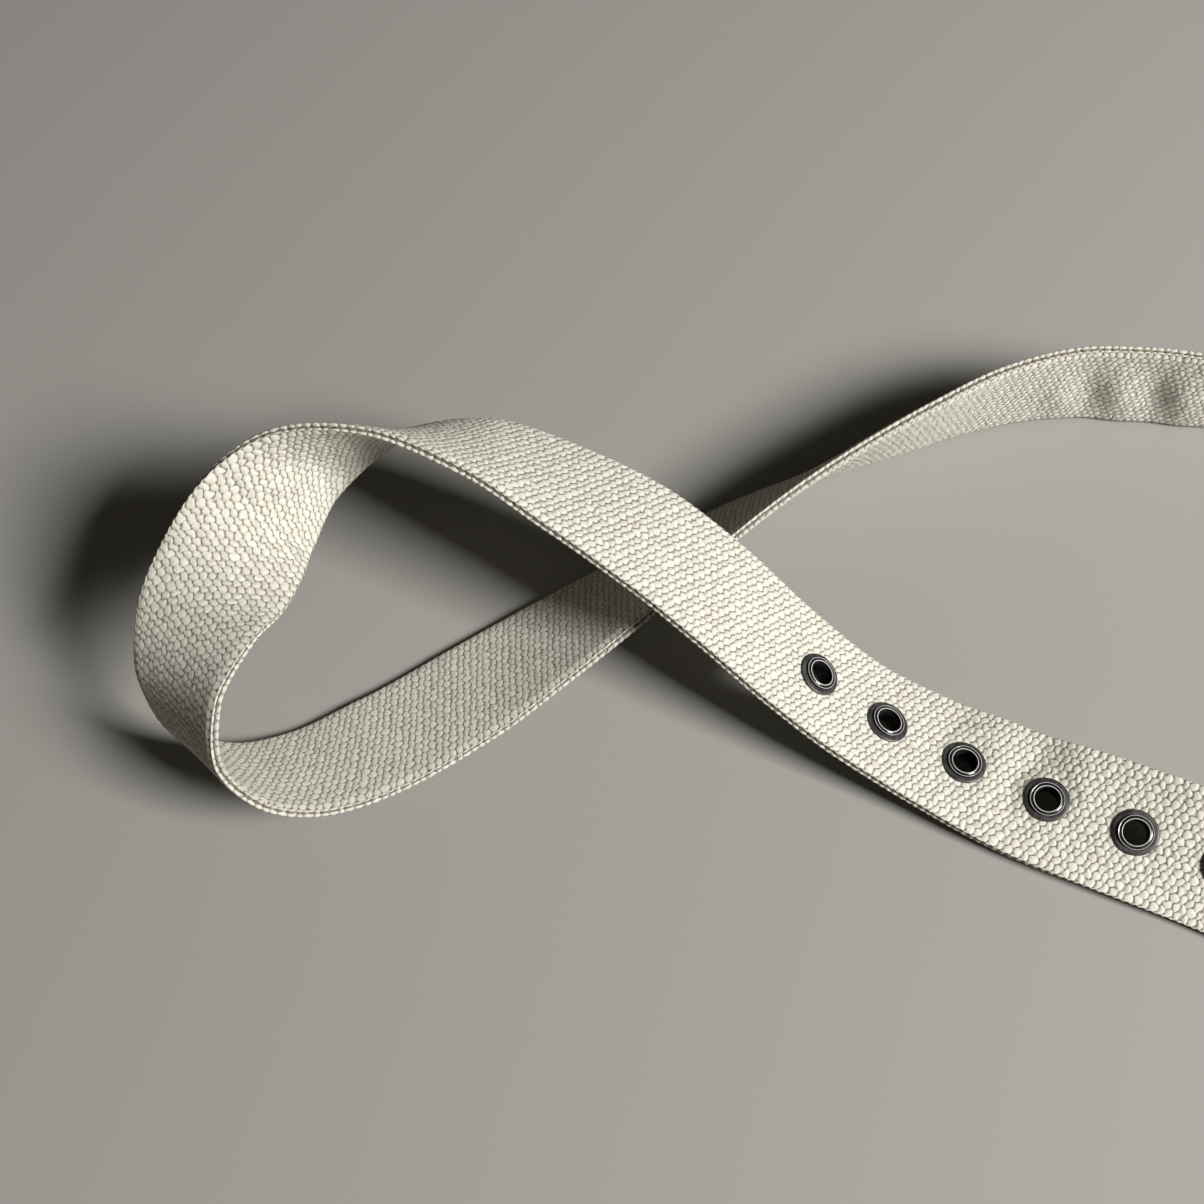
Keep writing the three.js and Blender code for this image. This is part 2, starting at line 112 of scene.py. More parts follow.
def throughMarks(marks, places):
    # centripetal curve: marks has one extra mark at each end
    index = np.clip(np.floor(places).astype(int), 0, len(marks) - 4)
    share = (places - index)[:, None]
    p0, p1, p2, p3 = (marks[index + i] for i in range(4))

    def spacing(a, b):
        return np.sqrt(np.linalg.norm(a - b, axis=1, keepdims=True))

    d0, d1, d2 = spacing(p0, p1), spacing(p1, p2), spacing(p2, p3)
    d1 = np.where(d1 < 1e-6, 1.0, d1)
    d0 = np.where(d0 < 1e-6, d1, d0)
    d2 = np.where(d2 < 1e-6, d1, d2)
    t1 = ((p1 - p0) / d0 - (p2 - p0) / (d0 + d1) + (p2 - p1) / d1) * d1
    t2 = ((p2 - p1) / d1 - (p3 - p1) / (d1 + d2) + (p3 - p2) / d2) * d1
    cubic = 2 * p1 - 2 * p2 + t1 + t2
    square = 3 * p2 - 3 * p1 - 2 * t1 - t2
    return p1 + share * (t1 + share * (square + share * cubic))


stretchAngle = math.atan(course["slope"])
stretchAlong = np.array((math.cos(stretchAngle), 0, math.sin(stretchAngle)))
stretchOut = np.array((-math.sin(stretchAngle), 0, math.cos(stretchAngle)))
stretchAcross = np.array((0.0, -1.0, 0.0))
plyMiddle = (course["slit"] + course["ply"]) / 2
outerFace = course["slit"] / 2 + course["ply"]
barBelow = plyMiddle - course["foldRadius"]
barLine = np.array((*course["barAt"], course["foldRadius"] + course["ply"] / 2 - barBelow))
stretchStart = barLine - stretchAlong * course["buckleStretch"]
centreMarks = [np.array(at) for at, _ in route]
centreMarks += [stretchStart, stretchStart + stretchAlong * course["leadIn"]]
centreMarks = [2 * centreMarks[0] - centreMarks[1], *centreMarks, 2 * centreMarks[-1] - centreMarks[-2]]
centreMarks = np.array(centreMarks)
acrossMarks = [np.array(across) for _, across in route] + [stretchAcross, stretchAcross]
acrossMarks = np.array([acrossMarks[0], *acrossMarks, acrossMarks[-1]])

finePlaces = np.linspace(0, len(route), course["fineSteps"] + 1)
finePoints = throughMarks(centreMarks, finePlaces)
fineRuns = np.concatenate(([0], np.cumsum(np.linalg.norm(np.diff(finePoints, axis=0), axis=1))))
curvedLength = fineRuns[-1]
strapLength = curvedLength + course["buckleStretch"]
foldLength = math.pi * course["foldRadius"]


def courseAt(runs):
    # centre, along, across and out of the outer face, at each distance from the free end
    runs = np.asarray(runs, float)
    places = np.interp(runs, fineRuns, finePlaces)
    centre = throughMarks(centreMarks, places)
    ahead = throughMarks(centreMarks, places + course["tangentStep"])
    behind = throughMarks(centreMarks, np.maximum(places - course["tangentStep"], 0))
    along = unit(ahead - behind)
    across = unit(throughMarks(acrossMarks, places))
    straight = (runs > curvedLength)[:, None]
    centre = np.where(straight, stretchStart + stretchAlong * (runs - curvedLength)[:, None], centre)
    along = np.where(straight, stretchAlong, along)
    across = np.where(straight, stretchAcross, across)
    out = unit(np.cross(across, along))
    # round the bar, then back under the strap
    turn = np.clip((runs - strapLength) / course["foldRadius"], 0, math.pi)[:, None]
    turnOut = stretchAlong * np.sin(turn) + stretchOut * np.cos(turn)
    turnAlong = stretchAlong * np.cos(turn) - stretchOut * np.sin(turn)
    bar = barLine + stretchOut * barBelow
    back = np.clip(runs - strapLength - foldLength, 0, None)[:, None]
    settle = np.clip(back / course["tabSettle"], 0, 1)
    rise = 2 * course["foldRadius"] - plyMiddle - outerFace - course["tabGap"] - course["ply"] / 2
    lift = rise * settle * settle * (3 - 2 * settle)
    turned = bar + turnOut * (course["foldRadius"] - plyMiddle) - stretchAlong * back + stretchOut * lift
    folded = (runs > strapLength)[:, None]
    centre = np.where(folded, turned, centre)
    along = np.where(folded, turnAlong, along)
    out = np.where(folded, turnOut, out)
    across = np.cross(along, out)
    return centre, along, across, out


endCentre, endAlong, _, _ = courseAt([0.0])
low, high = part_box("tip_cap")
worldShift = np.array((low + high) / 2) - (endCentre[0] + endAlong[0] * course["tipFromEnd"])
print("course: strap", round(strapLength, 4), "m, shift", [round(float(x), 5) for x in worldShift])

# woven webbing
weave = {
    "along": 0.0023,           # from one float to the next in a row
    "rows": 17,                # rows of floats across the strap
    "perFloat": 4,             # stations to a float
    "relief": 0.00020,
    "between": 0.6,            # height between two rows, as a share of the relief
    "wander": 0.00040,         # how far the rows stray from their places
    "rimSoftening": 0.00038,   # how far the section's corners are rounded
    "rimBead": 0.00042,        # how far the edge loops stand out
    "slitSoftening": 0.00030,  # rounding beside the slit between the plies
    "hiddenStations": 8,
    "hiddenColumns": 5,
}
rowPitch = course["width"] / weave["rows"]

# waves of the yarns' slow drift: along the strap, across it, phase
driftAlong = [(910, 700, 0), (1630, -1250, 1.3), (390, 2100, 0)]
driftAcross = [(780, -520, 2.1), (1490, 940, 0), (2310, 0, 0.7)]

# soft unevenness of the whole strap: run, side, half length, half width, slant, height
dents = [
    (0.147, 0.010, 0.0080, 0.0140, 0.10, 0.0010),
    (0.158, 0.006, 0.0070, 0.0150, 0.10, -0.0016),
    (0.174, 0.010, 0.0080, 0.0130, 0.10, 0.0012),
    (0.184, 0.009, 0.0060, 0.0110, 0.10, -0.0008),
    (0.397, 0.002, 0.0060, 0.0100, 0.30, 0.0011),
    (0.407, -0.004, 0.0045, 0.0080, 0.60, -0.0013),
    (0.791, -0.004, 0.0050, 0.0120, 0.25, -0.0009),
    (0.801, -0.003, 0.0045, 0.0120, 0.25, 0.0008),
    (0.811, -0.003, 0.0055, 0.0130, 0.25, -0.0014),
    (0.822, -0.003, 0.0045, 0.0120, 0.25, 0.0010),
    (0.832, -0.003, 0.0055, 0.0130, 0.25, -0.0013),
]
eyelets = {
    "count": 7, "first": 0.075, "pitch": 0.0254,
    "stillFrom": 0.0068,       # the strap is held flat this far round an eyelet
    "freeFrom": 0.0105,
}
eyeletRuns = [eyelets["first"] + eyelets["pitch"] * i for i in range(eyelets["count"])]


def waves(table, run, side):
    return sum(np.sin(run * alongRate + side * acrossRate + phase) for alongRate, acrossRate, phase in table)


def straying(run, side):
    along = waves(driftAlong, run, side) * weave["wander"] / 2
    return along, waves(driftAcross, run, side) * weave["wander"] / 3


def wovenHeight(run, side):
    # height of the floats over the ply: rounded bumps that interlock like bricks
    row = np.floor(side / rowPitch + weave["rows"] / 2)
    phase = run / weave["along"] + 0.5 * np.mod(row, 2)
    middle = np.sin(math.pi * (side / rowPitch + weave["rows"] / 2)) ** 2
    bump = middle * (0.5 + 0.5 * np.cos(2 * math.pi * phase))
    return weave["relief"] * (bump + weave["between"] * (1 - middle))


def unevenness(run, side):
    lift = np.zeros_like(run)
    for middle, sideAt, halfLength, halfWidth, slant, height in dents:
        along = (run - middle + slant * side) / halfLength
        across = (side - sideAt) / halfWidth
        lift += height * np.exp(-along * along - across * across)
    for at in eyeletRuns:
        away = np.hypot(run - at, side) - eyelets["stillFrom"]
        lift *= np.clip(away / (eyelets["freeFrom"] - eyelets["stillFrom"]), 0, 1)
    return lift


def layOnCourse(flat):
    # flat rows are run, side and height over the strap's middle
    centre, _, across, out = courseAt(flat[:, 0])
    height = flat[:, 2] + unevenness(flat[:, 0], flat[:, 1])
    return centre + across * flat[:, 1:2] + out * height[:, None] + worldShift


def coordinates(mesh):
    flat = np.empty(len(mesh.vertices) * 3, np.float32)
    mesh.vertices.foreach_get("co", flat)
    return flat.reshape(-1, 3).astype(float)


def placed(mesh, rows):
    mesh.vertices.foreach_set("co", rows.astype(np.float32).ravel())
    mesh.update()


def newPiece(name, bm, body, smooth=True):
    mesh = bpy.data.meshes.new(name)
    bm.to_mesh(mesh)
    bm.free()
    piece = bpy.data.objects.new(name, mesh)
    bpy.context.scene.collection.objects.link(piece)
    mesh.polygons.foreach_set("use_smooth", [smooth] * len(mesh.polygons))
    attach(piece, body)
    return piece


def cutHoles(bm, holes, slots):
    gone = []
    for face in bm.faces:
        at = face.calc_center_median()
        inHole = any(math.hypot(at.x - run, at.y) < radius for run, radius in holes)
        inSlot = any(start < at.x < end and abs(at.y) < half for start, end, half in slots)
        if inHole or inSlot:
            gone.append(face)
    bmesh.ops.delete(bm, geom=gone, context="FACES")
    rim = {vert for edge in bm.edges if edge.is_boundary for vert in edge.verts}
    for vert in rim:
        for run, radius in holes:
            away = Vector((vert.co.x - run, vert.co.y))
            if away.length < plies["roundedWithin"] * radius:
                away.length = radius
                vert.co.x, vert.co.y = run + away.x, away.y


def flatPly(length, holes, slots):
    # a flat closed ply: its seen face up at the ply's thickness, its hidden face at z = 0
    thickness = course["ply"]
    stations = round(length / weave["along"]) * weave["perFloat"]
    columns = 2 * weave["rows"]
    bm = bmesh.new()
    bmesh.ops.create_grid(bm, x_segments=stations, y_segments=columns, size=0.5)
    bmesh.ops.scale(bm, vec=(length, course["width"], 1), verts=bm.verts)
    bmesh.ops.translate(bm, vec=(length / 2, 0, 0), verts=bm.verts)
    cutHoles(bm, holes, slots)
    raised = bmesh.ops.extrude_face_region(bm, geom=bm.faces[:], use_keep_orig=True)
    top = [part for part in raised["geom"] if isinstance(part, bmesh.types.BMVert)]
    bmesh.ops.translate(bm, vec=(0, 0, thickness), verts=top)
    bmesh.ops.recalc_face_normals(bm, faces=bm.faces)
    stationStep, columnStep = length / stations, course["width"] / columns
    spare = []
    for edge in bm.edges:
        a, b = edge.verts[0].co, edge.verts[1].co
        if a.z > 0 or b.z > 0 or any(abs(face.normal.z) < 0.9 for face in edge.link_faces):
            continue
        if abs(a.y - b.y) < 0.1 * columnStep and round(a.y / columnStep) % weave["hiddenColumns"]:
            spare.append(edge)
        elif abs(a.x - b.x) < 0.1 * stationStep and round(a.x / stationStep) % weave["hiddenStations"]:
            spare.append(edge)
    bmesh.ops.dissolve_edges(bm, edges=spare, use_verts=True)
    walls = [edge for edge in bm.edges if abs(edge.verts[0].co.z - edge.verts[1].co.z) > thickness / 2]
    bmesh.ops.subdivide_edges(bm, edges=walls, cuts=3)
    return bm


def finishPly(piece, facing):
    # weave, rounded rims and edge loops on the flat ply, then along the strap's course
    thickness = course["ply"]
    mesh = piece.data
    flat = coordinates(mesh)
    loops = np.empty(len(mesh.loops), np.int32)
    mesh.loops.foreach_get("vertex_index", loops)
    run, side, height = flat.T.copy()
    half = course["width"] / 2
    seen = height > 0.99 * thickness
    rim = np.abs(side) > half * 0.999
    outward = np.where(rim, np.sign(side), 0)
    depth = np.clip((thickness - height) / thickness, 0, 1)
    drift = straying(run, side)
    inside = np.clip((half - np.abs(side)) / rowPitch, 0, 1)
    patternRun, patternSide = run + drift[0], side + drift[1] * inside
    # the rim carries one more row of the pattern
    pattern = np.stack((patternRun, (patternSide + outward * depth * rowPitch) * facing), 1)
    layer = mesh.uv_layers.new(name="weave")
    layer.data.foreach_set("uv", pattern[loops].astype(np.float32).ravel())
    beat = 0.5 - 0.5 * np.cos(2 * math.pi * run / weave["along"])
    bulge = np.sin(math.pi * np.clip(0.15 + 0.85 * depth, 0, 1)) * (0.35 + 0.65 * beat) * weave["rimBead"]
    height += np.where(seen & ~rim, wovenHeight(patternRun, patternSide * facing), 0)
    height -= np.where(seen & rim, weave["rimSoftening"], 0)
    side += outward * (bulge - weave["slitSoftening"] * (depth > 0.9))
    if facing > 0:
        mesh.flip_normals()
    placed(mesh, layOnCourse(np.stack((run, side, facing * (course["slit"] / 2 + height)), 1)))


plies = {
    "innerStop": 0.005,        # the inner ply ends this far before the bar
    "eyeletHole": 0.0046,
    "rivetHole": 0.0020,
    "rivetsFromBar": (0.018, 0.032),
    "slotHalf": 0.0045,        # the slot for the prong: half its width, and its reach from the bar
    "slotBack": 0.011,
    "roundedWithin": 1.4,      # rims nearer than this many radii are pulled round
}
rivetRuns = [strapLength - back for back in plies["rivetsFromBar"]]
holes = [(run, plies["eyeletHole"]) for run in eyeletRuns]
holes += [(run, plies["rivetHole"]) for run in rivetRuns]
tabHoles = [(strapLength + foldLength + back, plies["rivetHole"]) for back in plies["rivetsFromBar"]]
slotStart = strapLength - plies["slotBack"]
slotEnd = strapLength + foldLength + plies["slotBack"]

outerLength = strapLength + foldLength + course["tab"]
bm = flatPly(outerLength, holes + tabHoles, [(slotStart, slotEnd, plies["slotHalf"])])
outerPly = newPiece("outer_web", bm, "strap")
finishPly(outerPly, 1)
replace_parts(outerPly, "outer_ply")

innerLength = strapLength - plies["innerStop"]
bm = flatPly(innerLength, holes, [(slotStart, slotEnd, plies["slotHalf"])])
innerPly = newPiece("inner_web", bm, "strap")
finishPly(innerPly, -1)
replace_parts(innerPly, "inner_ply")
for piece in (outerPly, innerPly):
    print(piece.name, len(piece.data.vertices), "vertices",
          sum(len(face.vertices) - 2 for face in piece.data.polygons), "triangles")


# nodes and materials
def fill(tree, node, inputs):
    for name, value in inputs.items():
        if isinstance(value, bpy.types.NodeSocket):
            tree.links.new(value, node.inputs[name])
        else:
            node.inputs[name].default_value = value


def addNode(tree, kind, inputs=(), **settings):
    node = tree.nodes.new("ShaderNode" + kind)
    for name, value in settings.items():
        setattr(node, name, value)
    fill(tree, node, dict(inputs))
    return node


def sums(tree, operation, *values):
    node = addNode(tree, "Math", dict(enumerate(values)), operation=operation)
    return node.outputs[0]


def newGroup(name, inputs, outputs):
    group = bpy.data.node_groups.new(name, "ShaderNodeTree")
    for label, kind, value in inputs:
        socket = group.interface.new_socket(label, in_out="INPUT", socket_type="NodeSocket" + kind)
        if value is not None:
            socket.default_value = value
    for label, kind in outputs:
        group.interface.new_socket(label, in_out="OUTPUT", socket_type="NodeSocket" + kind)
    start = group.nodes.new("NodeGroupInput")
    end = group.nodes.new("NodeGroupOutput")
    return group, start.outputs, end.inputs


floats = {
    "wobbleScale": 320.0, "wander": 0.0012,
    "lean": 0.16,              # how much a float slants across its row
    "half": (0.47, 0.66),      # half length and half width of a float, in cells
    "crossingHalf": (0.16, 0.34), "crossingHeight": 0.42,
    "twist": (5.0, 9.0),       # strands of the yarn, along and across a cell
    "ridgeHeight": 0.16, "fuzzScale": 2600.0, "fuzzHeight": 0.30,
    "least": 0.72, "spread": 0.5,
}
lacquer = {
    "scratchScale": 900.0, "stretch": (1.0, 0.12, 1.0), "turn": (0, 0, 0.6), "cloudScale": 260.0,
    "wornFrom": 0.20, "wornTo": 0.48, "bump": 0.00002,
}


def weaveGroup():
    # brick rows of oval floats with the crossing yarns between them, from a pattern in metres
    group, given, result = newGroup(
        "canvasWeave",
        [("Pattern", "Vector", None), ("Along", "Float", weave["along"]), ("Row Pitch", "Float", rowPitch),
         ("Row Start", "Float", weave["rows"] / 2), ("Wander", "Float", floats["wander"])],
        [("Height", "Float"), ("Shade", "Float"), ("Tint", "Float")],
    )

    def calc(operation, *values):
        return sums(group, operation, *values)

    def oval(along, across, halfAlong, halfAcross):
        leaning = calc("ADD", along, calc("MULTIPLY", across, floats["lean"]))
        longWay = calc("POWER", calc("ABSOLUTE", calc("DIVIDE", leaning, halfAlong)), 2.2)
        wideWay = calc("POWER", calc("ABSOLUTE", calc("DIVIDE", across, halfAcross)), 2.0)
        inside = calc("SUBTRACT", 1.0, calc("ADD", longWay, wideWay))
        return calc("SQRT", calc("MAXIMUM", inside, 0.0))

    wobble = addNode(group, "TexNoise",
                     {"Vector": given["Pattern"], "Scale": floats["wobbleScale"], "Detail": 2.0})
    centred = addNode(group, "VectorMath", {0: wobble.outputs["Color"], 1: (0.5, 0.5, 0.5)},
                      operation="SUBTRACT")
    push = addNode(group, "VectorMath", {0: centred.outputs[0], "Scale": given["Wander"]}, operation="SCALE")
    moved = addNode(group, "VectorMath", {0: given["Pattern"], 1: push.outputs[0]}, operation="ADD")
    parts = addNode(group, "SeparateXYZ", {0: moved.outputs[0]})
    rowPlace = calc("ADD", calc("DIVIDE", parts.outputs[1], given["Row Pitch"]), given["Row Start"])
    row = calc("FLOOR", rowPlace)
    oddRow = calc("MULTIPLY", calc("FLOORED_MODULO", row, 2.0), 0.5)
    floatPlace = calc("ADD", calc("DIVIDE", parts.outputs[0], given["Along"]), oddRow)
    acrossCell = calc("SUBTRACT", calc("FRACT", rowPlace), 0.5)
    alongCell = calc("SUBTRACT", calc("FRACT", calc("ADD", floatPlace, 0.5)), 0.5)
    betweenCell = calc("SUBTRACT", calc("FRACT", floatPlace), 0.5)
    # a float, the one of the next row that reaches in beside it, and the crossing yarn between
    own = oval(alongCell, acrossCell, *floats["half"])
    beyond = calc("SUBTRACT", acrossCell, calc("SIGN", acrossCell))
    neighbours = oval(betweenCell, beyond, *floats["half"])
    under = oval(betweenCell, acrossCell, *floats["crossingHalf"])
    crossing = calc("MULTIPLY", under, floats["crossingHeight"])
    height = calc("MAXIMUM", calc("MAXIMUM", own, neighbours), crossing)
    # each float's own brightness
    cellName = addNode(group, "CombineXYZ", {0: calc("FLOOR", calc("ADD", floatPlace, 0.5)), 1: row})
    chance = addNode(group, "TexWhiteNoise", {"Vector": cellName.outputs[0]}, noise_dimensions="3D")
    # the twist of the yarn's strands
    twistAlong, twistAcross = floats["twist"]
    strand = calc("ADD", calc("MULTIPLY", alongCell, twistAlong), calc("MULTIPLY", acrossCell, twistAcross))
    ridges = calc("ABSOLUTE", calc("SINE", calc("MULTIPLY", strand, math.pi)))
    fuzz = addNode(group, "TexNoise",
                   {"Vector": given["Pattern"], "Scale": floats["fuzzScale"], "Detail": 3.0})
    fine = calc("ADD", calc("MULTIPLY", ridges, floats["ridgeHeight"]),
                calc("MULTIPLY", fuzz.outputs[0], floats["fuzzHeight"]))
    uneven = calc("ADD", floats["least"], calc("MULTIPLY", chance.outputs["Value"], floats["spread"]))
    group.links.new(calc("ADD", calc("MULTIPLY", height, uneven), fine), result["Height"])
    group.links.new(height, result["Shade"])
    group.links.new(chance.outputs["Value"], result["Tint"])
    return group


def wearGroup():
    # fine scratches and handling marks on lacquered metal
    group, given, result = newGroup(
        "lacquerWear",
        [("Place", "Vector", None), ("Scratch Scale", "Float", lacquer["scratchScale"]),
         ("Amount", "Float", 0.5)],
        [("Height", "Float"), ("Mask", "Float")],
    )
    stretched = addNode(group, "Mapping",
                        {"Vector": given["Place"], "Scale": lacquer["stretch"], "Rotation": lacquer["turn"]})
    scratches = addNode(group, "TexNoise",
                        {"Vector": stretched.outputs[0], "Scale": given["Scratch Scale"], "Detail": 4.0})
    cloud = addNode(group, "TexNoise",
                    {"Vector": given["Place"], "Scale": lacquer["cloudScale"], "Detail": 3.0})
    both = sums(group, "MULTIPLY", scratches.outputs[0], cloud.outputs[0])
    group.links.new(sums(group, "MULTIPLY", both, given["Amount"]), result["Mask"])
    group.links.new(sums(group, "MULTIPLY", scratches.outputs[0], given["Amount"]), result["Height"])
    return group


weaveNodes = weaveGroup()
wearNodes = wearGroup()


def placeGroup(tree, group, inputs):
    node = tree.nodes.new("ShaderNodeGroup")
    node.node_tree = group
    fill(tree, node, inputs)
    return node


def newMaterial(name, **constants):
    material = bpy.data.materials.new(name)
    material.use_nodes = True
    shader = material.node_tree.nodes["Principled BSDF"]
    for label, value in constants.items():
        shader.inputs[label.replace("_", " ")].default_value = value
    return material, material.node_tree, shader


def mixColours(tree, factor, a, b):
    node = tree.nodes.new("ShaderNodeMix")
    node.data_type = "RGBA"
    for socket, value in ((node.inputs[0], factor), (node.inputs[6], a), (node.inputs[7], b)):
        if isinstance(value, bpy.types.NodeSocket):
            tree.links.new(value, socket)
        else:
            socket.default_value = value
    return node.outputs[2]


canvas = {
    "yarn": (0.74, 0.72, 0.645, 1),
    "shadow": (0.15, 0.13, 0.095, 1),
    "flax": (0.54, 0.50, 0.41, 1),
    "tintShare": 0.35, "fleckShare": 0.45, "blotchShare": 0.18,
    "blotchScale": 42.0, "fleckScale": 900.0, "fleckFrom": 0.60, "fleckTo": 0.74,
    "openFrom": 0.06, "openTo": 0.66,
    "rough": (0.86, 0.98),
    "bump": 0.00055,
}


def canvasMaterial(name, along, pitch, rowStart, darker=0.0):
    material, tree, shader = newMaterial(
        name, Sheen_Weight=0.12, Sheen_Roughness=0.6, Specular_IOR_Level=0.25)
    pattern = addNode(tree, "UVMap", uv_map="weave").outputs[0]
    woven = placeGroup(tree, weaveNodes, {
        "Pattern": pattern, "Along": along, "Row Pitch": pitch, "Row Start": rowStart,
    })
    blotches = addNode(tree, "TexNoise", {"Vector": pattern, "Scale": canvas["blotchScale"], "Detail": 4.0})
    flecks = addNode(tree, "TexNoise", {"Vector": pattern, "Scale": canvas["fleckScale"], "Detail": 2.0})
    fleck = addNode(tree, "MapRange", {
        "Value": flecks.outputs[0], "From Min": canvas["fleckFrom"], "From Max": canvas["fleckTo"],
    })
    body = canvas["yarn"]
    for mask, share in ((woven.outputs["Tint"], canvas["tintShare"]),
                        (fleck.outputs[0], canvas["fleckShare"]),
                        (blotches.outputs[0], canvas["blotchShare"] + darker)):
        body = mixColours(tree, sums(tree, "MULTIPLY", mask, share), body, canvas["flax"])
    openness = addNode(tree, "MapRange", {
        "Value": woven.outputs["Shade"], "From Min": canvas["openFrom"], "From Max": canvas["openTo"],
    })
    colour = mixColours(tree, openness.outputs[0], canvas["shadow"], body)
    tree.links.new(colour, shader.inputs["Base Color"])
    smooth, rough = canvas["rough"]
    roughness = addNode(tree, "MapRange", {"Value": woven.outputs["Tint"], "To Min": smooth, "To Max": rough})
    tree.links.new(roughness.outputs[0], shader.inputs["Roughness"])
    bump = addNode(tree, "Bump", {
        "Height": woven.outputs["Height"], "Distance": canvas["bump"], "Strength": 1.0,
    })
    tree.links.new(bump.outputs[0], shader.inputs["Normal"])
    return material


def lacquerMaterial(name, colour, worn, rough, coat):
    material, tree, shader = newMaterial(name, Coat_Roughness=0.08)
    place = addNode(tree, "TexCoord").outputs["Object"]
    wear = placeGroup(tree, wearNodes, {"Place": place, "Amount": 1.0})
    mask = addNode(tree, "MapRange", {
        "Value": wear.outputs["Mask"], "From Min": lacquer["wornFrom"], "From Max": lacquer["wornTo"],
    })
    tree.links.new(mixColours(tree, mask.outputs[0], colour, worn), shader.inputs["Base Color"])
    roughness = addNode(tree, "MapRange", {"Value": mask.outputs[0], "To Min": rough, "To Max": rough + 0.2})
    tree.links.new(roughness.outputs[0], shader.inputs["Roughness"])
    coatAmount = addNode(tree, "MapRange", {"Value": mask.outputs[0], "To Min": coat, "To Max": coat * 0.4})
    tree.links.new(coatAmount.outputs[0], shader.inputs["Coat Weight"])
    bump = addNode(tree, "Bump", {
        "Height": wear.outputs["Height"], "Distance": lacquer["bump"], "Strength": 0.5,
    })
    tree.links.new(bump.outputs[0], shader.inputs["Normal"])
    return material


canvasWeb = canvasMaterial("canvasWeb", weave["along"], rowPitch, weave["rows"] / 2)
blackGloss = lacquerMaterial("blackGloss", (0.006, 0.006, 0.007, 1), (0.04, 0.038, 0.036, 1), 0.20, 0.55)
blackSatin = lacquerMaterial("blackSatin", (0.020, 0.020, 0.021, 1), (0.070, 0.068, 0.064, 1), 0.42, 0.10)
# painted highlight: pale grey on the lip's two raised rings stands in for the glints on their edges
paintedRingHighlight = lacquerMaterial("paintedRingHighlight", (0.62, 0.62, 0.61, 1), (0.36, 0.36, 0.35, 1), 0.42, 0.0)
# painted shade: a matte, coatless near-black for the eyelet's bore, so its hole reads dark
paintedBoreShade = lacquerMaterial("paintedBoreShade", (0.002, 0.002, 0.002, 1), (0.006, 0.006, 0.006, 1), 0.70, 0.0)


def dress(piece, material):
    piece.data.materials.clear()
    piece.data.materials.append(material)


dress(outerPly, canvasWeb)
dress(innerPly, canvasWeb)

# eyelets
eyeletShape = {
    "lip": [(3.70, -2.60), (3.70, 3.20), (3.74, 3.34), (3.84, 3.40), (3.94, 3.34), (4.02, 3.22),
            (4.50, 3.10), (4.66, 3.12), (4.76, 3.20), (4.86, 3.20), (4.94, 3.08), (4.94, 2.86), (4.78, 2.76),
            (4.30, 2.72), (4.20, 2.60), (4.20, -1.90), (4.35, -2.02), (6.20, -2.02), (6.46, -2.10),
            (6.50, -2.26), (6.42, -2.46), (6.10, -2.60)],
    "washer": [(4.42, 2.02), (6.30, 1.90), (6.47, 1.96), (6.50, 2.14), (6.42, 2.32), (6.10, 2.44),
               (5.30, 2.50), (4.60, 2.44), (4.42, 2.36)],
    "bright": [(3.73, 3.95), (4.75, 4.88)],    # radii between which the lip's edges get the painted highlight rings
    "brightAbove": 0.0030,
    "boreWithin": 3.72,
    "turns": 72,
    "turnEach": 0.7,           # each eyelet is turned on by this, so no two are alike
}


def spun(profile, turns):
    # a closed ring: the profile, radius and height in millimetres, turned about Z
    bm = bmesh.new()
    corners = [bm.verts.new((radius / 1000, 0, height / 1000)) for radius, height in profile]
    edges = [bm.edges.new((corners[i - 1], corners[i])) for i in range(len(corners))]
    bmesh.ops.spin(bm, geom=corners + edges, cent=(0, 0, 0), axis=(0, 0, 1), angle=2 * math.pi,
                   steps=turns, use_merge=True)
    bmesh.ops.remove_doubles(bm, verts=bm.verts, dist=1e-7)
    axis = [edge for edge in bm.edges if edge.is_wire]
    bmesh.ops.delete(bm, geom=axis, context="EDGES")
    bmesh.ops.recalc_face_normals(bm, faces=bm.faces)
    return bm


def seat(bm, run, turn=0.0):
    # from the piece's own axes, Z out of the outer face and X along, to its place on the strap
    centre, along, across, out = (row[0] for row in courseAt([run]))
    axes = Matrix((along, -across, out)).transposed().to_4x4()
    place = Matrix.Translation(Vector(centre + worldShift)) @ axes @ Matrix.Rotation(turn, 4, "Z")
    bmesh.ops.transform(bm, matrix=place, verts=bm.verts)


def paintRingHighlights(piece, run):
    # painted highlight on the two raised rings of a lip, and painted shade in its near-black bore
    piece.data.materials.append(paintedRingHighlight)
    piece.data.materials.append(paintedBoreShade)
    centre, _, _, out = (row[0] for row in courseAt([run]))
    for face in piece.data.polygons:
        away = np.array(face.center) - centre - worldShift
        height = away @ out
        radius = 1000 * np.linalg.norm(away - out * height)
        raised = height > eyeletShape["brightAbove"]
        if raised and any(low < radius < high for low, high in eyeletShape["bright"]):
            face.material_index = 1
        elif radius < eyeletShape["boreWithin"]:
            face.material_index = 2


for index, run in enumerate(eyeletRuns, start=1):
    for part, material in (("lip", blackGloss), ("washer", blackSatin)):
        bm = spun(eyeletShape[part], eyeletShape["turns"])
        seat(bm, run, eyeletShape["turnEach"] * index)
        piece = newPiece("eyelet_" + part + "_" + str(index), bm, "strap")
        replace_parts(piece, ("eyelet_" if part == "lip" else "washer_") + str(index))
        dress(piece, material)
        if part == "lip":
            paintRingHighlights(piece, run)
print("eyelets:", len(eyeletRuns))

# sewing thread in the slit along each edge
stitches = {
    "pitch": 0.0032, "length": 0.0026, "radius": 0.00026,
    "out": 0.00004,            # past the strap's edge
    "start": 0.004,
    "dark": (0.10, 0.085, 0.06, 1), "light": (0.24, 0.20, 0.145, 1),
}


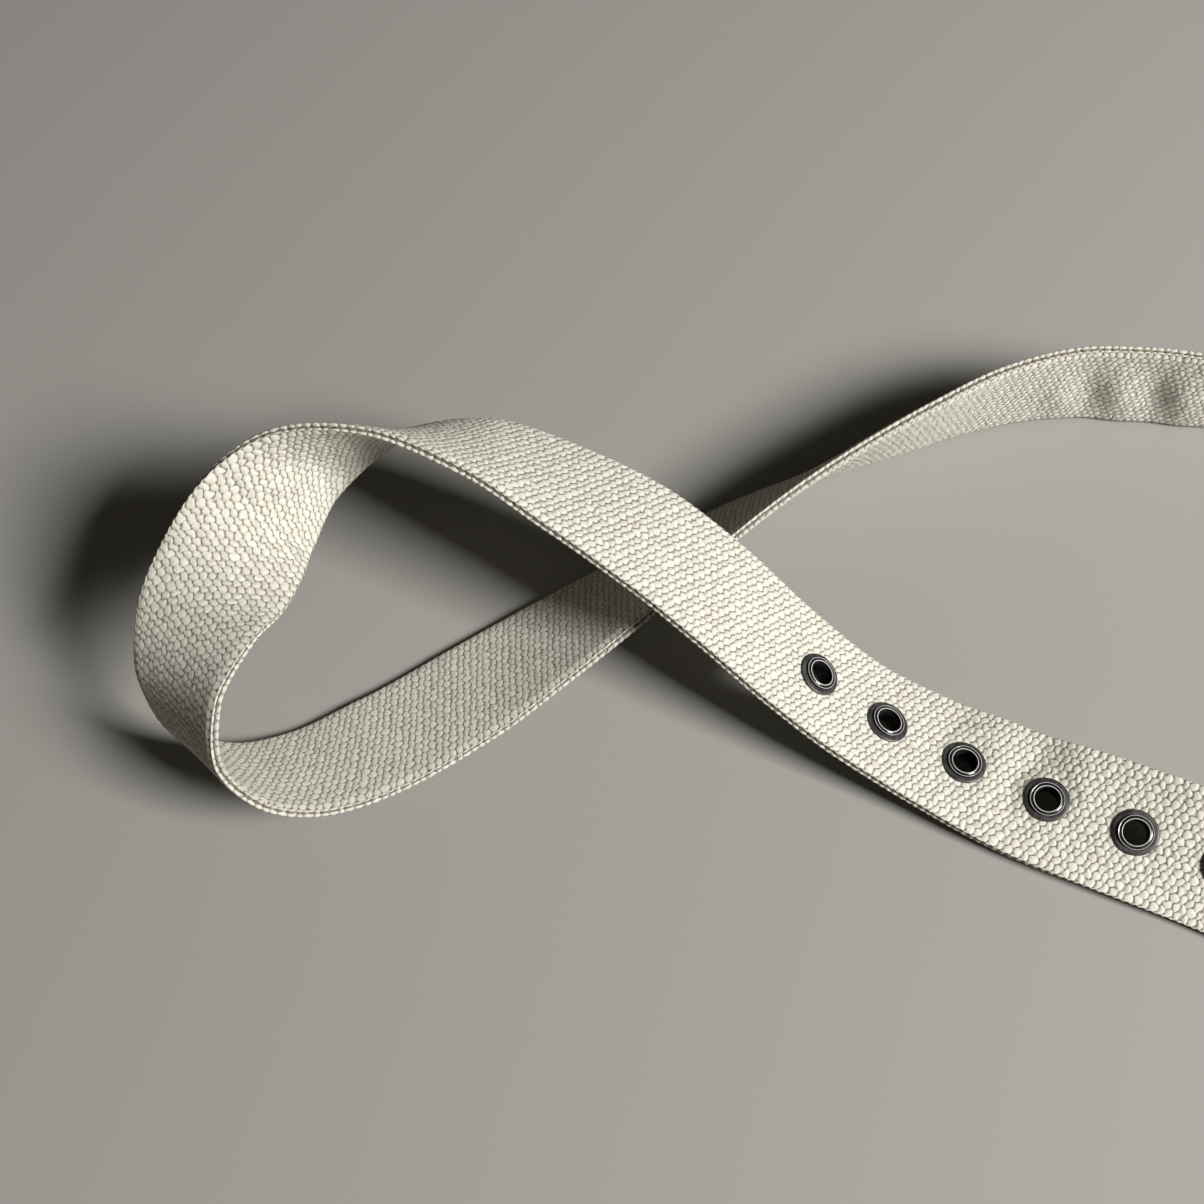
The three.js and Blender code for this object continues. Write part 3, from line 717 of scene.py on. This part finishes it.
def stitchRow(name, side):
    bm = bmesh.new()
    count = int((innerLength - 2 * stitches["start"]) / stitches["pitch"])
    size = (stitches["length"], 2 * stitches["radius"], 2 * stitches["radius"])
    edge = side * (course["width"] / 2 + stitches["out"])
    for index in range(count):
        made = bmesh.ops.create_uvsphere(bm, u_segments=8, v_segments=6, radius=0.5)["verts"]
        bmesh.ops.rotate(bm, verts=made, matrix=Matrix.Rotation(math.pi / 2, 3, "Y"))
        bmesh.ops.scale(bm, verts=made, vec=size)
        bmesh.ops.translate(bm, verts=made, vec=(stitches["start"] + index * stitches["pitch"], edge, 0))
    piece = newPiece(name, bm, "strap")
    placed(piece.data, layOnCourse(coordinates(piece.data)))
    piece.data.flip_normals()
    dress(piece, shadedThread)
    return piece


# the thread is given a colour darker than its own ecru, as painted shade of the slit it lies in
shadedThread, tree, shader = newMaterial("seamThreadShaded", Sheen_Weight=0.1)
place = addNode(tree, "TexCoord").outputs["Object"]
twist = addNode(tree, "TexNoise", {"Vector": place, "Scale": 1800.0, "Detail": 2.0})
tree.links.new(mixColours(tree, twist.outputs[0], stitches["dark"], stitches["light"]),
               shader.inputs["Base Color"])
roughness = addNode(tree, "MapRange", {"Value": twist.outputs[0], "To Min": 0.75, "To Max": 0.95})
tree.links.new(roughness.outputs[0], shader.inputs["Roughness"])
bump = addNode(tree, "Bump", {"Height": twist.outputs[0], "Distance": 0.0001})
tree.links.new(bump.outputs[0], shader.inputs["Normal"])
for name, side in (("a", 1), ("b", -1)):
    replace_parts(stitchRow("edge_stitches_" + name, side), "seam_thread_" + name)
print("stitches done")

# metal tip
tip = {
    "length": 0.013, "width": 0.0411, "height": 0.0057, "wall": 0.001, "round": 0.0011,
    "border": 0.0016, "step": 0.0004, "sunk": 0.00025,     # the shallow panel in both faces
}


def tipPiece():
    bm = bmesh.new()
    bmesh.ops.create_cube(bm, size=1)
    bmesh.ops.scale(bm, vec=(tip["length"], tip["width"], tip["height"]), verts=bm.verts)
    mouth = [face for face in bm.faces if face.normal.x > 0.9]
    bmesh.ops.delete(bm, geom=mouth, context="FACES")
    folds = [edge for edge in bm.edges if not edge.is_boundary]
    bmesh.ops.bevel(bm, geom=folds, offset=tip["round"], segments=4, affect="EDGES", profile=0.5, material=-1)
    flats = [face for face in bm.faces if abs(face.normal.z) > 0.999]
    bmesh.ops.inset_individual(bm, faces=flats, thickness=tip["border"], depth=0)
    bmesh.ops.inset_individual(bm, faces=flats, thickness=tip["step"], depth=-tip["sunk"])
    bmesh.ops.recalc_face_normals(bm, faces=bm.faces)
    bmesh.ops.solidify(bm, geom=bm.faces[:], thickness=tip["wall"])
    return bm


bm = tipPiece()
bmesh.ops.translate(bm, vec=(course["tipFromEnd"], 0, 0), verts=bm.verts)
seat(bm, 0.0)
tipEnd = newPiece("metal_tip", bm, "strap", smooth=False)
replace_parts(tipEnd, "tip_cap")
dress(tipEnd, blackSatin)

# buckle
buckle = {
    "bar": 0.002, "wire": 0.0022, "reach": 0.026, "halfWidth": 0.02225,
    "barCorner": 0.0026, "frontCorner": 0.004, "sides": 24, "cornerSteps": 8,
    "taper": 0.0012,           # over which the bar thickens to the wire
}
barPlace = barLine + stretchOut * barBelow
buckleTilt = math.asin((barPlace[2] - buckle["wire"]) / buckle["reach"])
buckleAxes = Matrix.Translation(Vector(barPlace + worldShift)) @ Matrix.Rotation(buckleTilt, 4, "Y")


def buckleFrame():
    bm = bmesh.new()
    made = bmesh.ops.create_circle(bm, segments=buckle["sides"], radius=buckle["bar"])["verts"]
    bmesh.ops.rotate(bm, verts=made, matrix=Matrix.Rotation(math.pi / 2, 3, "X"))
    ring = bm.edges[:]

    def run(vec, grow=1.0):
        nonlocal ring
        made = bmesh.ops.extrude_edge_only(bm, edges=ring)["geom"]
        verts = [part for part in made if isinstance(part, bmesh.types.BMVert)]
        edges = [part for part in made if isinstance(part, bmesh.types.BMEdge)]
        ring = [edge for edge in edges if all(vert in verts for vert in edge.verts)]
        bmesh.ops.translate(bm, vec=vec, verts=verts)
        if grow != 1.0:
            middle = sum((v.co for v in verts), Vector()) / len(verts)
            bmesh.ops.scale(bm, vec=(grow, 1, grow), verts=verts, space=Matrix.Translation(-middle))

    def corner(centre):
        nonlocal ring
        verts = list({v for edge in ring for v in edge.verts})
        made = bmesh.ops.spin(bm, geom=verts + ring, cent=centre, axis=(0, 0, 1), angle=math.pi / 2,
                              steps=buckle["cornerSteps"])["geom_last"]
        ring = [part for part in made if isinstance(part, bmesh.types.BMEdge)]

    half, near, far = buckle["halfWidth"], buckle["barCorner"], buckle["frontCorner"]
    thicken = buckle["wire"] / buckle["bar"]
    taper = buckle["taper"]
    run((0, -(half - near - taper), 0))
    run((0, -taper, 0), thicken)
    corner((near, -(half - near), 0))
    run((buckle["reach"] - near - far, 0, 0))
    corner((buckle["reach"] - far, -(half - far), 0))
    run((0, 2 * (half - far), 0))
    corner((buckle["reach"] - far, half - far, 0))
    run((-(buckle["reach"] - near - far), 0, 0))
    corner((near, half - near, 0))
    run((0, -taper, 0), 1 / thicken)
    run((0, -(half - near - taper), 0))
    bmesh.ops.remove_doubles(bm, verts=bm.verts, dist=1e-6)
    bmesh.ops.recalc_face_normals(bm, faces=bm.faces)
    return bm


bm = buckleFrame()
bmesh.ops.transform(bm, matrix=buckleAxes, verts=bm.verts)
frameWire = newPiece("buckle_wire", bm, "buckle")
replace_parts(frameWire, "buckle_frame")
dress(frameWire, blackGloss)

prong = {
    # in millimetres
    "eyeInner": 2.35, "eyeOuter": 4.05, "eyeSoft": 0.3, "eyeTurns": 40,
    "halfWidth": 1.8, "halfThick": 1.3, "sides": 20,
    # middle of the shank: forward, up, then how full its section is
    "shank": [(2.6, 2.75, 0.95), (6.5, 2.80, 1.0), (11.0, 3.35, 1.0), (15.6, 3.80, 1.0), (21.0, 3.85, 1.0),
              (26.0, 3.82, 0.98), (28.4, 3.55, 0.93), (29.8, 2.95, 0.85), (30.6, 2.10, 0.72),
              (30.9, 1.35, 0.50)],
}


def prongPiece():
    inner, outer, half = prong["eyeInner"], prong["eyeOuter"], prong["halfWidth"]
    soft = prong["eyeSoft"]
    eye = [(inner, -half + soft), (inner + soft, -half), (outer - soft, -half), (outer, -half + soft),
           (outer, half - soft), (outer - soft, half), (inner + soft, half), (inner, half - soft)]
    bm = spun(eye, prong["eyeTurns"])
    bmesh.ops.rotate(bm, verts=bm.verts, matrix=Matrix.Rotation(math.pi / 2, 3, "X"))
    marks = [(Vector((x, 0, z)) / 1000, full) for x, z, full in prong["shank"]]
    ring = None
    for index, (at, full) in enumerate(marks):
        ahead = marks[min(index + 1, len(marks) - 1)][0] - marks[max(index - 1, 0)][0]
        turn = Matrix.Rotation(math.atan2(-ahead.z, ahead.x), 4, "Y") @ Matrix.Rotation(math.pi / 2, 4, "Y")
        size = Matrix.Diagonal((prong["halfThick"] * full / 1000, half * full / 1000, 1, 1))
        atEnd = index in (0, len(marks) - 1)
        made = bmesh.ops.create_circle(bm, segments=prong["sides"], radius=1, cap_ends=atEnd)
        bmesh.ops.transform(bm, matrix=Matrix.Translation(at) @ turn @ size, verts=made["verts"])
        edges = list({edge for vert in made["verts"] for edge in vert.link_edges})
        if ring:
            bmesh.ops.bridge_loops(bm, edges=ring + edges)
        ring = edges
    bmesh.ops.recalc_face_normals(bm, faces=bm.faces)
    return bm


bm = prongPiece()
bmesh.ops.transform(bm, matrix=buckleAxes, verts=bm.verts)
prongBody = newPiece("prong_body", bm, "prong")
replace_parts(prongBody, "buckle_prong")
dress(prongBody, blackGloss)
print("buckle done")

# rivets
rivetShape = {
    "post": [(0, -4.65), (1.6, -4.60), (2.9, -4.40), (3.7, -4.10), (4.0, -3.75), (3.92, -3.57), (1.6, -3.55),
             (1.6, 2.10), (0, 2.12)],
    "cap": [(0, 2.45), (1.9, 2.45), (1.9, 1.86), (3.92, 1.86), (4.0, 2.02), (3.75, 2.45), (2.9, 2.82),
            (1.6, 3.04), (0, 3.10)],
    "turns": 48,
}
for index, run in enumerate(rivetRuns, start=1):
    for part in ("post", "cap"):
        bm = spun(rivetShape[part], rivetShape["turns"])
        seat(bm, run)
        piece = newPiece("tab_" + part + "_" + str(index), bm, "strap")
        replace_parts(piece, ("tab_rivet_" if part == "post" else "rivet_cap_") + str(index))
        dress(piece, blackGloss)

# keeper
keeper = {
    "fromBar": 0.060, "width": 0.012, "wall": 0.0015, "halfInside": 0.02005, "room": 0.0084,
    "bottom": -0.00185, "corner": 0.0024, "rows": 7, "along": 0.0018, "perFloat": 4,
    "relief": 0.00012, "rimSoftening": 0.0003, "darker": 0.06,
}


def keeperPiece():
    # a strip of narrow webbing, bent into a closed loop round the strap
    wall = keeper["wall"]
    wide = 2 * keeper["halfInside"] - 2 * keeper["corner"] + wall
    tall = keeper["room"] - 2 * keeper["corner"] + wall
    bend = keeper["corner"]
    quarter = bend * math.pi / 2
    length = 2 * wide + 2 * tall + 4 * quarter
    floatsRound = round(length / keeper["along"])
    bm = bmesh.new()
    bmesh.ops.create_grid(bm, x_segments=floatsRound * keeper["perFloat"],
                          y_segments=2 * keeper["rows"], size=0.5)
    bmesh.ops.scale(bm, vec=(length, keeper["width"], 1), verts=bm.verts)
    bmesh.ops.translate(bm, vec=(length / 2, 0, 0), verts=bm.verts)
    raised = bmesh.ops.extrude_face_region(bm, geom=bm.faces[:], use_keep_orig=True)
    top = [part for part in raised["geom"] if isinstance(part, bmesh.types.BMVert)]
    bmesh.ops.translate(bm, vec=(0, 0, wall), verts=top)
    bmesh.ops.recalc_face_normals(bm, faces=bm.faces)
    ends = [face for face in bm.faces if abs(face.normal.x) > 0.9]
    bmesh.ops.delete(bm, geom=ends, context="FACES")
    piece = newPiece("keeper_web", bm, "keeper")
    mesh = piece.data
    flat = coordinates(mesh)
    loops = np.empty(len(mesh.loops), np.int32)
    mesh.loops.foreach_get("vertex_index", loops)
    run, side, height = flat.T.copy()
    pitch = keeper["width"] / keeper["rows"]
    step = length / floatsRound
    rim = np.abs(side) > keeper["width"] * 0.4999
    overRim = np.where(rim, np.sign(side) * (wall - height), 0)
    pattern = np.stack((run * keeper["along"] / step, side + overRim), 1)
    layer = mesh.uv_layers.new(name="weave")
    layer.data.foreach_set("uv", pattern[loops].astype(np.float32).ravel())
    row = np.floor(side / pitch + keeper["rows"] / 2)
    bumps = np.abs(np.sin(math.pi * (side / pitch + keeper["rows"] / 2)))
    bumps = bumps * (0.5 + 0.5 * np.cos(2 * math.pi * (run / step + 0.5 * np.mod(row, 2))))
    faceSign = np.where(height > wall / 2, 1.0, -1.0)
    height += np.where(rim, -faceSign * keeper["rimSoftening"], faceSign * keeper["relief"] * bumps)
    # round the loop from the middle of its lower side
    marks = np.cumsum([0, wide / 2, quarter, tall, quarter, wide, quarter, tall, quarter, wide / 2])
    angle = np.interp(run, marks, np.cumsum([0, 0, 90, 0, 90, 0, 90, 0, 90, 0]))
    nx, nz = np.sin(np.radians(angle)), -np.cos(np.radians(angle))
    coreX = np.interp(run, marks, [0] + [wide / 2] * 4 + [-wide / 2] * 4 + [0])
    lowZ = keeper["bottom"] - wall / 2 + bend
    highZ = lowZ + tall
    coreZ = np.interp(run, marks, [lowZ] * 3 + [highZ] * 4 + [lowZ] * 3)
    reach = bend + height - wall / 2
    x, z = coreX + nx * reach, coreZ + nz * reach
    centre, along, across, out = (rows[0] for rows in courseAt([strapLength - keeper["fromBar"]]))
    rows = centre + worldShift + x[:, None] * across + z[:, None] * out + side[:, None] * along
    placed(mesh, rows)
    bm = bmesh.new()
    bm.from_mesh(mesh)
    bmesh.ops.remove_doubles(bm, verts=bm.verts, dist=1e-6)
    bmesh.ops.reverse_faces(bm, faces=bm.faces)
    bm.to_mesh(mesh)
    bm.free()
    return piece, length


keeperWeb, keeperLength = keeperPiece()
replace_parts(keeperWeb, "keeper_loop")
dress(keeperWeb, canvasMaterial("keeperCanvas", keeper["along"], keeper["width"] / keeper["rows"],
                                keeper["rows"] / 2, keeper["darker"]))
print("keeper done")

# floor, light and camera
stage = {
    "side": 3.0, "colour": (0.27, 0.265, 0.248, 1),
    "lampSize": (0.62, 0.62), "lampPower": 70.0, "lampFrom": (1.29, -0.66, 1.30),
    "lampColour": (1.0, 0.985, 0.955),
    "skyColour": (1.0, 0.90, 0.74, 1), "skyStrength": 0.05,
}
bm = bmesh.new()
bmesh.ops.create_grid(bm, x_segments=8, y_segments=8, size=stage["side"] / 2)
mesh = bpy.data.meshes.new("floor")
bm.to_mesh(mesh)
bm.free()
floor = bpy.data.objects.new("floor", mesh)
bpy.context.scene.collection.objects.link(floor)
floorMaterial, tree, shader = newMaterial("floorPlaster", Roughness=0.9, Specular_IOR_Level=0.2)
shader.inputs["Base Color"].default_value = stage["colour"]
dress(floor, floorMaterial)


def areaLight(name, size, power, at, aim, colour):
    light = bpy.data.lights.new(name, "AREA")
    light.shape = "RECTANGLE"
    light.size, light.size_y = size
    light.energy = power
    light.color = colour
    holder = bpy.data.objects.new(name, light)
    holder.location = at
    holder.rotation_euler = (Vector(aim) - Vector(at)).to_track_quat("-Z", "Y").to_euler()
    bpy.context.scene.collection.objects.link(holder)


view = {"elevation": 64, "distance": 0.4536, "field": 45}
aim = Vector(worldShift)
areaLight("windowLight", stage["lampSize"], stage["lampPower"], aim + Vector(stage["lampFrom"]), aim,
          stage["lampColour"])
world = bpy.data.worlds.new("studio")
world.use_nodes = True
sky = world.node_tree.nodes["Background"]
sky.inputs[0].default_value = stage["skyColour"]
sky.inputs[1].default_value = stage["skyStrength"]
bpy.context.scene.world = world
bpy.context.scene.view_settings.view_transform = "Standard"

lens = bpy.data.cameras.new("camera")
lens.sensor_width = 36
lens.lens = 18 / math.tan(math.radians(view["field"] / 2))
camera = bpy.data.objects.new("camera", lens)
tilt = math.radians(view["elevation"])
camera.location = aim + Vector((0, -math.cos(tilt), math.sin(tilt))) * view["distance"]
camera.rotation_euler = (math.radians(90) - tilt, 0, 0)
bpy.context.scene.collection.objects.link(camera)
bpy.context.scene.camera = camera
